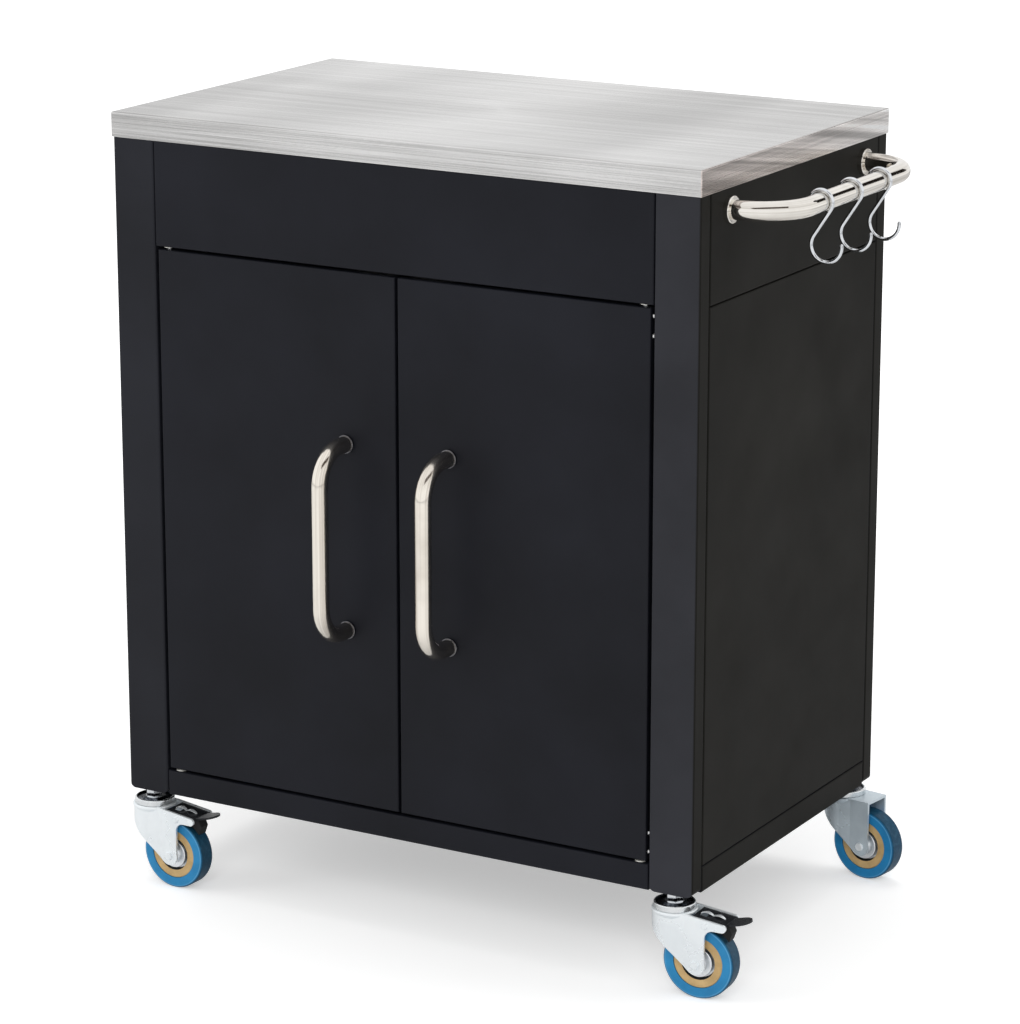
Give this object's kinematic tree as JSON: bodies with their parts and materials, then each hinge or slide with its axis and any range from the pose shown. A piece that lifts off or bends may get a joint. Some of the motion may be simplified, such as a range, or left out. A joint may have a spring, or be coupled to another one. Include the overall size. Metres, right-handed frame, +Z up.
{
  "type": "kitchen cart",
  "caption": "Steel kitchen cart with a brushed worktop, hinged black doors with bent tube handles, an inner shelf, a side towel bar with S-hooks, and swivel casters",
  "frame": {"origin": "on the floor under the middle of the overall box, doors closed", "axes": "+Z up, -Y to the doors, +X to the towel bar"},
  "size_m": [0.7325, 0.469, 0.8],
  "materials": {
    "black_coat": "fine satin powder coat, black",
    "side_coat": "fine satin powder coat, black",
    "worktop_steel": "brushed along the width",
    "handle_steel": "fine satin",
    "bar_steel": "polished",
    "hook_chrome": "polished",
    "screw_steel": "bright zinc plated",
    "zinc": "bright zinc plated, bluish",
    "wheel_blue": "smooth elastic rubber",
    "core_nylon": "moulded nylon, tan",
    "pad_rubber": "moulded, black",
    "board": "particle board",
    "white_nylon": "moulded nylon, white"
  },
  "bodies": {
    "cart": {"worktop_sheet": "worktop_steel", "worktop_core": "board", "worktop_screws": "screw_steel", "post_front_left": "black_coat", "post_front_right": "black_coat", "post_rear_left": "black_coat", "post_rear_right": "black_coat", "front_apron": "black_coat", "left_apron": "side_coat", "right_apron": "side_coat", "left_panel": "side_coat", "right_panel": "side_coat", "back_panel": "black_coat", "floor_tray": "black_coat", "shelf": "black_coat", "shelf_pins": "screw_steel", "magnetic_catches": "white_nylon", "hinge_bushes": "white_nylon", "towel_bar": "bar_steel", "towel_bar_collars": "bar_steel", "towel_bar_screws": "screw_steel", "caster_stems": "zinc", "caster_nuts": "zinc"},
    "left_door": {"left_door_skin": "black_coat", "left_door_liner": "black_coat", "left_handle": "handle_steel", "left_handle_fixings": "screw_steel", "left_hinge_brackets": "screw_steel"},
    "right_door": {"right_door_skin": "black_coat", "right_door_liner": "black_coat", "right_handle": "handle_steel", "right_handle_fixings": "screw_steel", "right_hinge_brackets": "screw_steel"},
    "swivel_front_left": {"fork_front_left": "zinc", "axle_front_left": "zinc", "brake_rivet_left": "zinc"},
    "wheel_front_left": {"core_front_left": "core_nylon", "tread_front_left": "wheel_blue"},
    "brake_left": {"brake_pedal_left": "zinc", "brake_pad_left": "pad_rubber"},
    "swivel_front_right": {"fork_front_right": "zinc", "axle_front_right": "zinc", "brake_rivet_right": "zinc"},
    "wheel_front_right": {"core_front_right": "core_nylon", "tread_front_right": "wheel_blue"},
    "brake_right": {"brake_pedal_right": "zinc", "brake_pad_right": "pad_rubber"},
    "swivel_rear_left": {"fork_rear_left": "zinc", "axle_rear_left": "zinc"},
    "wheel_rear_left": {"core_rear_left": "core_nylon", "tread_rear_left": "wheel_blue"},
    "swivel_rear_right": {"fork_rear_right": "zinc", "axle_rear_right": "zinc"},
    "wheel_rear_right": {"core_rear_right": "core_nylon", "tread_rear_right": "wheel_blue"},
    "front_hook": {"hook_front": "hook_chrome"},
    "middle_hook": {"hook_middle": "hook_chrome"},
    "rear_hook": {"hook_rear": "hook_chrome"}
  },
  "joints": [
    {"name": "left_door_hinge", "type": "hinge", "parent": "cart", "child": "left_door", "pos_m": [-0.30575, -0.17025, 0.398], "axis": [0, 0, -1], "range_deg": [0, 105]},
    {"name": "right_door_hinge", "type": "hinge", "parent": "cart", "child": "right_door", "pos_m": [0.22525, -0.17025, 0.398], "axis": [0, 0, 1], "range_deg": [0, 105]},
    {"name": "swivel_turn_front_left", "type": "hinge", "parent": "cart", "child": "swivel_front_left", "pos_m": [-0.34175, -0.1685, 0.09], "axis": [0, 0, 1], "continuous": true},
    {"name": "wheel_roll_front_left", "type": "hinge", "parent": "swivel_front_left", "child": "wheel_front_left", "pos_m": [-0.31277, -0.16951, 0.0365], "axis": [0.0349, 0.9994, 0], "continuous": true},
    {"name": "brake_press_left", "type": "hinge", "parent": "swivel_front_left", "child": "brake_left", "pos_m": [-0.30307, -0.16985, 0.0774], "axis": [0.0349, 0.9994, 0], "range_deg": [0, 5]},
    {"name": "swivel_turn_front_right", "type": "hinge", "parent": "cart", "child": "swivel_front_right", "pos_m": [0.26125, -0.1685, 0.09], "axis": [0, 0, 1], "continuous": true},
    {"name": "wheel_roll_front_right", "type": "hinge", "parent": "swivel_front_right", "child": "wheel_front_right", "pos_m": [0.29021, -0.16698, 0.0365], "axis": [-0.0523, 0.9986, 0], "continuous": true},
    {"name": "brake_press_right", "type": "hinge", "parent": "swivel_front_right", "child": "brake_right", "pos_m": [0.2999, -0.16648, 0.0774], "axis": [-0.0523, 0.9986, 0], "range_deg": [0, 5]},
    {"name": "swivel_turn_rear_left", "type": "hinge", "parent": "cart", "child": "swivel_rear_left", "pos_m": [-0.34175, 0.212, 0.09], "axis": [0, 0, 1], "continuous": true},
    {"name": "wheel_roll_rear_left", "type": "hinge", "parent": "swivel_rear_left", "child": "wheel_rear_left", "pos_m": [-0.31286, 0.20947, 0.0365], "axis": [0.0872, 0.9962, 0], "continuous": true},
    {"name": "swivel_turn_rear_right", "type": "hinge", "parent": "cart", "child": "swivel_rear_right", "pos_m": [0.26125, 0.212, 0.09], "axis": [0, 0, 1], "continuous": true},
    {"name": "wheel_roll_rear_right", "type": "hinge", "parent": "swivel_rear_right", "child": "wheel_rear_right", "pos_m": [0.28997, 0.20796, 0.0365], "axis": [0.1392, 0.9903, 0], "continuous": true},
    {"name": "front_hook_swing", "type": "hinge", "parent": "cart", "child": "front_hook", "pos_m": [0.34275, -0.04825, 0.755], "axis": [0, 1, 0], "range_deg": [-60, 50]},
    {"name": "middle_hook_swing", "type": "hinge", "parent": "cart", "child": "middle_hook", "pos_m": [0.34275, 0.01575, 0.755], "axis": [0, 1, 0], "range_deg": [-60, 50]},
    {"name": "rear_hook_swing", "type": "hinge", "parent": "cart", "child": "rear_hook", "pos_m": [0.34275, 0.07975, 0.755], "axis": [0, 1, 0], "range_deg": [-60, 50]}
  ]
}
